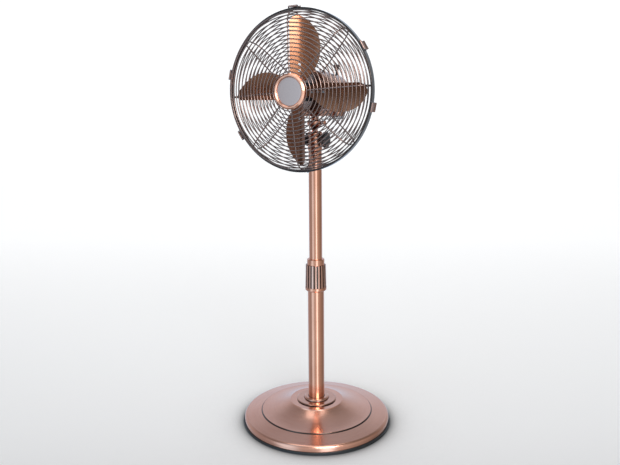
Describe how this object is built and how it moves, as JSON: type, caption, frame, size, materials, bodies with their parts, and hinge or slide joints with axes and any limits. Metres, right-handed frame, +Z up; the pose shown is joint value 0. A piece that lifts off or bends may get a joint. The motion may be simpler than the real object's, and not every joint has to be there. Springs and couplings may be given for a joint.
{
  "type": "pedestal fan",
  "caption": "Free-standing fan with a weighted round base, telescopic pole, tilting and swinging motor head, leaf blades and a wire guard with rim clips.",
  "frame": {"origin": "centre of the underside of the base, on the floor", "axes": "+Z up along the pole, -Y the way the air blows, +X to the right seen from the front"},
  "size_m": [0.4399, 0.44, 1.1861],
  "materials": {
    "rubber": "black ring, satin",
    "cast_weight": "rough cast",
    "base_copper": "antique copper plate, brushed in circles",
    "flange_copper": "antique copper plate, spun",
    "pole_copper": "antique copper plate, brushed along the tube",
    "mast_copper": "antique copper plate, brushed along the tube",
    "collar_copper": "antique copper plate, dark grooves",
    "neck_copper": "antique copper plate, satin",
    "housing_copper": "antique copper plate, satin",
    "zinc": "zinc plated",
    "steel": "ground steel",
    "clamp_plastic": "natural nylon",
    "black_plastic": "black, fine texture",
    "brass": "turned brass",
    "laminations": "stacked sheet",
    "enamel_wire": "enamelled copper winding",
    "bearing_bronze": "sintered bronze",
    "blade_copper": "dark antique copper lacquer on sheet",
    "guard_copper": "antique copper plated wire",
    "rim_bronze": "dark bronze plate, glossy",
    "badge_silver": "satin anodised disc",
    "clip_dark": "dark bronze plate"
  },
  "bodies": {
    "base": {"base_rubber_ring": "rubber", "base_weight": "cast_weight", "base_cover": "base_copper", "pole_flange": "flange_copper", "pole_socket": "zinc", "outer_tube": "pole_copper", "base_bolt": "zinc", "collar_seat": "neck_copper", "clamp_collet": "clamp_plastic"},
    "collar": {"collar_grip": "collar_copper", "collar_cap": "neck_copper"},
    "mast": {"inner_tube": "mast_copper", "guide_bush": "clamp_plastic", "neck_cup": "neck_copper", "tilt_bolt": "zinc", "tilt_end_cap": "black_plastic"},
    "tilt_knob": {"tilt_knob_grip": "black_plastic", "tilt_knob_insert": "brass"},
    "neck": {"tilt_tongue": "neck_copper", "osc_spindle": "steel", "thrust_washer": "bearing_bronze", "anchor_pin": "steel"},
    "head": {"housing_front": "housing_copper", "housing_rear": "housing_copper", "head_saddle": "neck_copper", "motor_brackets": "zinc", "motor_bearings": "bearing_bronze", "stator_core": "laminations", "stator_windings": "enamel_wire", "capacitor": "black_plastic", "speed_switch": "black_plastic", "cord_gland": "black_plastic", "gear_case": "housing_copper", "guard_nut": "black_plastic", "rear_guard_plate": "guard_copper", "rear_guard_rings": "guard_copper", "rear_guard_ribs": "guard_copper", "rim_band": "rim_bronze", "front_guard_rings": "guard_copper", "front_guard_ribs": "guard_copper", "badge_ring": "neck_copper", "badge_disc": "badge_silver", "clip_brackets": "clip_dark", "rim_screw": "zinc"},
    "rotor": {"rotor_shaft": "steel", "rotor_core": "laminations", "fan_blades": "blade_copper", "blade_rivets": "steel", "blade_spider": "blade_copper", "blade_nut": "black_plastic"},
    "worm_gear": {"worm_wheel": "clamp_plastic"},
    "crank": {"crank": "zinc"},
    "link": {"swing_link": "zinc"},
    "pull_knob": {"swing_knob": "black_plastic"},
    "dial": {"speed_dial": "black_plastic"},
    "clip_1": {"clip_lever_1": "clip_dark"},
    "clip_2": {"clip_lever_2": "clip_dark"},
    "clip_3": {"clip_lever_3": "clip_dark"},
    "clip_4": {"clip_lever_4": "clip_dark"},
    "clip_5": {"clip_lever_5": "clip_dark"}
  },
  "joints": [
    {"name": "collar_turn", "type": "hinge", "parent": "base", "child": "collar", "pos_m": [0, 0, 0.447], "axis": [0, 0, 1], "range_deg": [0, 120]},
    {"name": "mast_slide", "type": "slide", "parent": "base", "child": "mast", "axis": [0, 0, 1], "range_m": [-0.28, 0]},
    {"name": "tilt_knob_turn", "type": "hinge", "parent": "mast", "child": "tilt_knob", "pos_m": [0.03, 0, 0.838], "axis": [1, 0, 0], "range_deg": [0, 150]},
    {"name": "tilt", "type": "hinge", "parent": "mast", "child": "neck", "pos_m": [0, 0, 0.838], "axis": [-1, 0, 0], "range_deg": [-10, 20]},
    {"name": "oscillate", "type": "hinge", "parent": "neck", "child": "head", "pos_m": [0, 0, 0.9], "axis": [0, 0, 1], "range_deg": [-40, 40]},
    {"name": "rotor_spin", "type": "hinge", "parent": "head", "child": "rotor", "pos_m": [0, 0, 0.968], "axis": [0, 1, 0], "continuous": true},
    {"name": "worm_gear_spin", "type": "hinge", "parent": "head", "child": "worm_gear", "pos_m": [0.019, 0.1, 0.968], "axis": [0, 0, 1], "continuous": true},
    {"name": "crank_turn", "type": "hinge", "parent": "head", "child": "crank", "pos_m": [0.019, 0.1, 0.9], "axis": [0, 0, 1], "range_deg": [-90, 90]},
    {"name": "link_swing", "type": "hinge", "parent": "crank", "child": "link", "pos_m": [0.0357, 0.1, 0.894], "axis": [0, 0, 1], "range_deg": [-90, 90]},
    {"name": "pull_knob_lift", "type": "slide", "parent": "head", "child": "pull_knob", "axis": [0, 0, 1], "range_m": [0, 0.008]},
    {"name": "dial_turn", "type": "hinge", "parent": "head", "child": "dial", "pos_m": [0, 0.15, 0.944], "axis": [0, 1, 0], "range_deg": [0, 135]},
    {"name": "clip_1_open", "type": "hinge", "parent": "head", "child": "clip_1", "pos_m": [-0.00939, -0.1008, 1.183], "axis": [0.999, 0, 0.0436], "range_deg": [0, 90]},
    {"name": "clip_2_open", "type": "hinge", "parent": "head", "child": "clip_2", "pos_m": [0.18446, -0.1008, 1.07884], "axis": [0.515, 0, -0.8572], "range_deg": [0, 90]},
    {"name": "clip_3_open", "type": "hinge", "parent": "head", "child": "clip_3", "pos_m": [0.21125, -0.1008, 0.92694], "axis": [-0.1908, 0, -0.9816], "range_deg": [0, 90]},
    {"name": "clip_4_open", "type": "hinge", "parent": "head", "child": "clip_4", "pos_m": [-0.20968, -0.1008, 1.01641], "axis": [0.225, 0, 0.9744], "range_deg": [0, 90]},
    {"name": "clip_5_open", "type": "hinge", "parent": "head", "child": "clip_5", "pos_m": [-0.18048, -0.1008, 0.85079], "axis": [-0.5446, 0, 0.8387], "range_deg": [0, 90]}
  ],
  "couplings": [
    {"joint": "worm_gear_spin", "follows": "rotor_spin", "ratio": 0.035714},
    {"joint": "crank_turn", "follows": "oscillate", "ratio": -2.25},
    {"joint": "link_swing", "follows": "oscillate", "ratio": 2.25}
  ]
}
